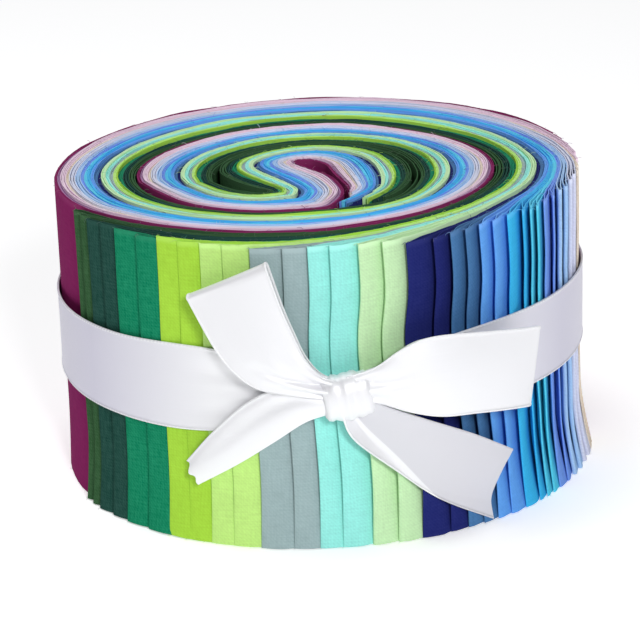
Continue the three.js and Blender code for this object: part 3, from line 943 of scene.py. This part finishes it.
# In the tables of loops and tails, A is the upper edge and B the lower one, each with its angle and height
loops = {
    "left": {
        "table": {
            "degA": [-87.0, -94.0, -102.0, -106.6, -110.4, -115.7],
            "zA": [33.0, 34.2, 35.8, 38.8, 43.4, 53.0],
            "degB": [-87.0, -90.5, -93.2, -95.2, -97.2, -99.7],
            "zB": [37.0, 38.6, 42.2, 47.0, 52.4, 60.6],
            "front": [4.4, 4.6, 5.0, 4.9, 4.8, 4.6],
            "back": [3.0, 2.8, 2.9, 2.9, 2.8, 2.6],
        },
        "flat": (0.0165, 0.066),
        "pleats": [(0.20, 0.10, -1.0), (0.42, 0.13, 1.1), (0.66, 0.10, -1.2), (0.86, 0.09, 0.8)],
        "reach": 0.62,
        "crown": 0.7,
        "crease": 1.1,  # a slanting one, out from the knot
        "backDrop": 0.0,  # how much lower the upper edge of the back runs
    },
    "right": {
        "table": {
            "degA": [-86.0, -80.4, -75.7, -70.0, -60.1, -45.6],
            "zA": [38.0, 39.6, 43.0, 45.2, 44.3, 41.6],
            "degB": [-86.0, -80.6, -74.0, -68.0, -60.5, -48.6],
            "zB": [32.5, 32.4, 29.8, 28.2, 27.4, 25.4],
            "front": [4.6, 4.8, 5.8, 6.8, 7.0, 6.6],
            "back": [2.8, 2.9, 3.0, 3.4, 4.2, 4.6],
        },
        "flat": (0.0165, 0.084),
        "pleats": [(0.16, 0.10, 0.7), (0.40, 0.12, -0.9), (0.62, 0.13, 0.9), (0.85, 0.08, -0.8)],
        "reach": 0.5,
        "crown": 1.0,
        "crease": 0.35,
        "backDrop": 1.5,
    },
}


def addLoop(name, loop, material):
    # the front runs out from the knot, turns over a soft end and comes back behind
    table = loop["table"]
    out = np.linspace(0, 1, 48)
    front = tableAt(table, out)
    end = tableAt(table, np.array([0.97, 1.0]))
    lastBack = table["back"][-1]
    radius = (table["front"][-1] - lastBack) / 2
    swing = np.linspace(0, math.pi, 12)[1:-1]
    across = crossings[None, :]
    reach = np.sin(swing) * radius
    tips = {}
    for side in "AB":
        stepDeg = end[f"deg{side}"][1] - end[f"deg{side}"][0]
        stepZ = end[f"z{side}"][1] - end[f"z{side}"][0]
        size = math.hypot(math.radians(stepDeg) * roll["radius"], stepZ)
        tips[f"deg{side}"] = end[f"deg{side}"][1] + stepDeg / size * reach
        tips[f"z{side}"] = end[f"z{side}"][1] + stepZ / size * reach
    fade = np.clip(1 - out / loop["reach"], 0, 1)[:, None] ** 1.3 * np.clip(out * 9 + 0.25, 0, 1)[:, None]
    pleats = fade * sum(high * np.exp(-(((across - at) / wide) ** 2)) for at, wide, high in loop["pleats"])
    swell = loop["crown"] * np.sin(math.pi * out)[:, None] * np.sin(math.pi * across)
    sag = 0.25 * np.sin(out * 7.0 + 1.0)[:, None] * (across - 0.5)
    reached = np.clip(out / 0.62, 0, 1)[:, None]
    crease = loop["crease"] * np.sin(math.pi * reached) * (reached < 1)
    sag = sag - crease * np.exp(-(((across - 0.66 + 0.38 * reached) / 0.085) ** 2))
    stands = [
        front["front"][:, None] + pleats + swell + sag,
        (lastBack + radius + radius * np.cos(swing))[:, None] + 0 * across,
        (front["back"][:, None] - 0.3 * swell + 0.3 * pleats)[::-1],
    ]
    sides = [front, tips, {key: value[::-1] for key, value in front.items()}]
    deg, z = np.concatenate([between(side, across) for side in sides], axis=1)
    drop = np.concatenate([0 * out, (1 - np.cos(swing)) / 2, 1 + 0 * out])[:, None]
    z = z - loop["backDrop"] * drop * (1 - across)
    addRibbonPiece(name, drumPoints(deg, z, np.concatenate(stands)), material)


def tailRows(tail):
    t = np.linspace(0, 1, tail["points"])
    return t[:, None], tableAt(tail["table"], t)


rightTail = {
    "table": {
        "degA": [-85.0, -79.6, -70.5, -60.0, -49.4],
        "zA": [36.0, 32.0, 27.2, 21.8, 15.4],
        "degB": [-87.0, -84.6, -76.6, -66.8, -53.6],
        "zB": [31.0, 24.4, 16.6, 8.4, 0.8],
        "lift": [3.2, 2.8, 2.4, 2.1, 1.8],
    },
    "points": 64,
    "flat": (0.0165, 0.046),
    "crease": (0.50, 0.78),  # where it is across the ribbon, and how far it moves along the tail
    "shadedFacet": (0.50, 17.0),  # below the crease shade is painted on as a greyer white, where the facet turns from the light
    "valley": (4.2, 2.9),  # how deep it is, and how much of that it loses
}


def addRightTail(material):
    t, at = tailRows(rightTail)
    across = crossings[None, :]
    deg, z = between(at, across)
    # a crease runs down from the knot, slants across and fades towards the cut end
    start, more = rightTail["crease"]
    crease = start + more * t
    slope = np.where(across < crease, (crease - across) / crease, (across - crease) / 0.5)
    deep, lost = rightTail["valley"]
    valley = (deep - lost * t) * np.sqrt(slope**2 + 0.006)
    # the cut end is hollow and its lower corner is frayed
    cut = np.clip((t - 0.5) / 0.5, 0, 1) ** 2
    hollow = cut * (2.4 * np.sin(math.pi * across) ** 1.3 + 0.5 * np.sin(9 * across + 1.0) * across)
    deg = deg - hollow * 0.8
    z = z + hollow * 0.6
    curl = 0.7 * t * np.sin(across * math.pi * 1.3 + 0.4) + 0.5 * np.sin(t * 5) * (across - 0.5)
    points = drumPoints(deg, z, np.maximum(0.5 * at["lift"][:, None] + valley + curl, 0.9))
    addRibbonPiece("ribbon_right_tail", points, material)


leftTail = {
    "table": {
        "degA": [-87.5, -98.0, -105.1, -112.5, -119.6],
        "zA": [36.0, 35.6, 32.2, 25.4, 17.6],
        "degB": [-87.5, -93.4, -100.0, -107.6, -117.0],
        "zB": [30.5, 28.4, 23.8, 18.6, 12.9],
        "lift": [3.4, 2.9, 2.4, 1.9, 1.5],
    },
    "points": 56,
    "flat": (0.0165, 0.040),
    "foldAt": 0.55,  # the share of the width that shows in front of its lengthwise fold
}


def addLeftTail(material):
    t, at = tailRows(leftTail)
    across = crossings[None, :]
    fold = leftTail["foldAt"]
    front = np.clip(across / fold, 0, 1)
    behind = np.clip((across - fold) / (1 - fold), 0, 1)
    share = front - behind * 0.75
    deg, z = between(at, share)
    dent = 0.7 * (1 - t) * np.exp(-(((front - 0.35) / 0.16) ** 2))
    roof = 0.9 * np.sin(front * math.pi) ** 0.8
    stand = at["lift"][:, None] + 0.2 - 0.9 * behind + roof - dent
    # the cut end is notched
    cut = np.clip((t - 0.8) / 0.2, 0, 1)
    notch = cut * (0.9 * np.abs(np.sin(across * 3.3 * math.pi + 0.4)) + 0.5 * np.sin(across * 23))
    deg = deg + notch * 0.6
    points = drumPoints(deg, z + notch * 0.4, np.maximum(stand, 0.85))
    addRibbonPiece("ribbon_left_tail", points, material)


knot = {
    "deg": -85.4,
    "z": 33.6,
    "stand": 3.2,  # of its middle off the roll's outside
    "wide": 4.6,
    "tall": 4.7,
    "deep": 3.1,
    "lean": 0.16,
    "tuck": 0.6,  # the bend's radius where its edges go under
    "wrap": 158,  # degrees either way from the front
    "flat": (0.0165, 0.024),
}


def addKnot(material):
    # the ribbon passes once over the middle, its edges tucked under and its front finely pleated
    turn = np.radians(np.linspace(-knot["wrap"], knot["wrap"], 60))[:, None]
    over = (crossings[None, :] * 2 - 1) * ribbon["width"] / 2
    flat = knot["wide"] - knot["tuck"]
    past = np.maximum(np.abs(over) - flat, 0)
    bend = np.clip(past / knot["tuck"], 0, math.pi)
    back = np.maximum(past - math.pi * knot["tuck"], 0)
    across = np.sign(over) * (np.minimum(np.abs(over), flat) + knot["tuck"] * np.sin(bend) - back)
    sunk = knot["tuck"] * (1 - np.cos(bend))
    pleats = 0.17 * np.cos(across * 3.4 + 0.7 + 0.5 * np.sin(turn)) + 0.12 * np.cos(across * 1.9 - turn)
    rim = np.sqrt(np.clip(1 - 0.60 * np.abs(across / knot["wide"]) ** 2.4, 0, 1))
    tall = (knot["tall"] * (0.4 + 0.6 * rim) + pleats - sunk) * np.sin(turn)
    deep = (knot["deep"] * rim + pleats - sunk) * np.cos(turn)
    side = across * (1 + 0.10 * np.sin(turn) ** 2)
    z = knot["z"] + tall + side * knot["lean"]
    side = side - tall * knot["lean"]
    deg = knot["deg"] + np.degrees(side / (roll["radius"] + knot["stand"]))
    points = drumPoints(deg, z, knot["stand"] + deep)
    addRibbonPiece("ribbon_knot", points[::-1], material)


def addRibbon():
    satin = satinShader("whiteSatin")
    addBand(satinShader("bandSatinShaded", paintedShadeSpan=band["grey"]))
    for side, loop in loops.items():
        addLoop(f"ribbon_{side}_loop", loop, satin)
    addLeftTail(satin)
    addRightTail(satinShader("tailSatinShaded", paintedShadeBelow=rightTail["shadedFacet"]))
    addKnot(satin)
    print("stage: ribbon")


# The floor

floorLook = {
    "Base Color": (0.95, 0.95, 0.95),
    "Roughness": 0.9,
    "Emission Color": (1.0, 1.0, 1.0),
    "Emission Strength": 0.42,
}


def addFloor():
    size = 3.0
    corners = [(-size, -size, 0), (size, -size, 0), (size, size, 0), (-size, size, 0)]
    mesh = bpy.data.meshes.new("floor")
    mesh.from_pydata(corners, [], [(0, 1, 2, 3)])
    paper = Shader("paleFloor")
    paper.feedSurface(floorLook)
    mesh.materials.append(paper.material)
    floor = addObject("floor", mesh)


addCamera()
addStudio()
addFloor()
print("stage: camera, light and floor")
addStrips()
addThreads()
addRibbon()
